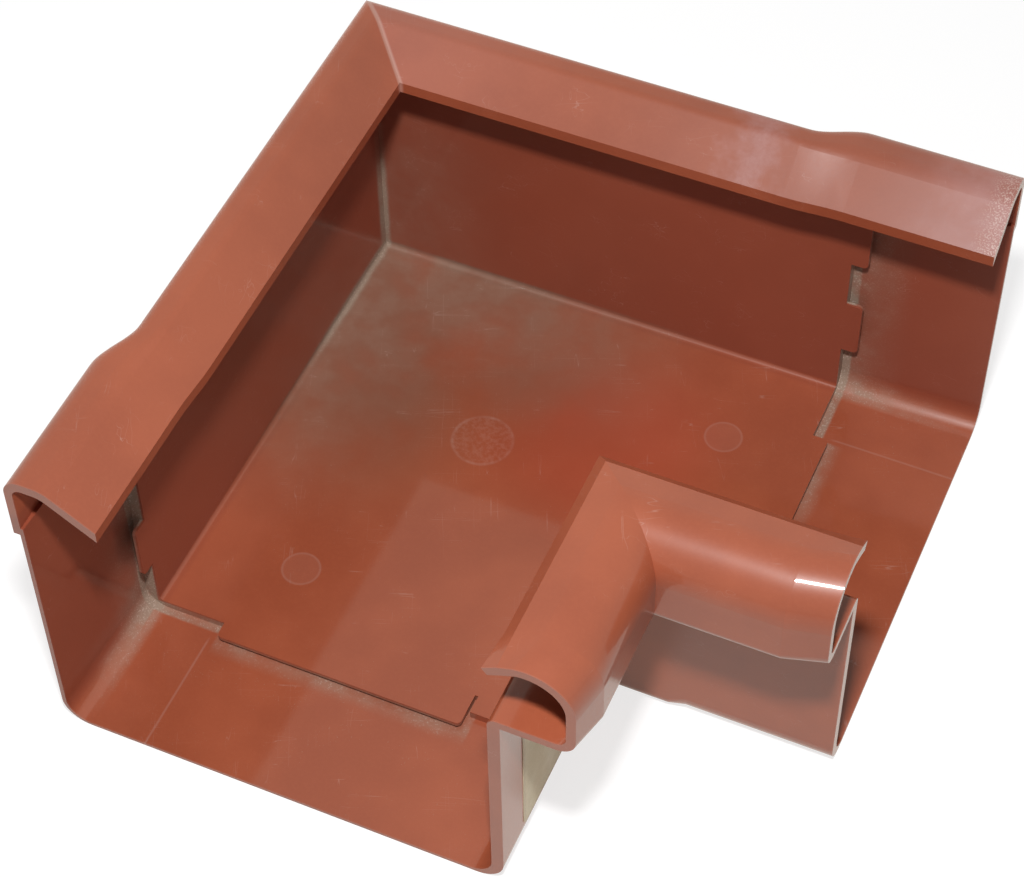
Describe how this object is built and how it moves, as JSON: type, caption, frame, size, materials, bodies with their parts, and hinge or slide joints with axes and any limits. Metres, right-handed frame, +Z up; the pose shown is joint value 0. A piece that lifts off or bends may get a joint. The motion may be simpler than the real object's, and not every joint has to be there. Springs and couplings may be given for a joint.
{
  "type": "gutter inside corner",
  "caption": "Inside corner for a square box gutter, with a turned-over lip, a rolled front bead and a stepped socket at each mouth.",
  "frame": {"origin": "centre of the bounding box in plan, at the height of the sockets' undersides", "axes": "+Z up; one arm runs along +X, the other along -Y, and the corner of the back walls points to -X, +Y"},
  "size_m": [0.1648, 0.1648, 0.0857],
  "materials": {
    "body": "satin"
  },
  "bodies": {
    "root": {"gutter_inside_corner": "body"}
  },
  "joints": []
}
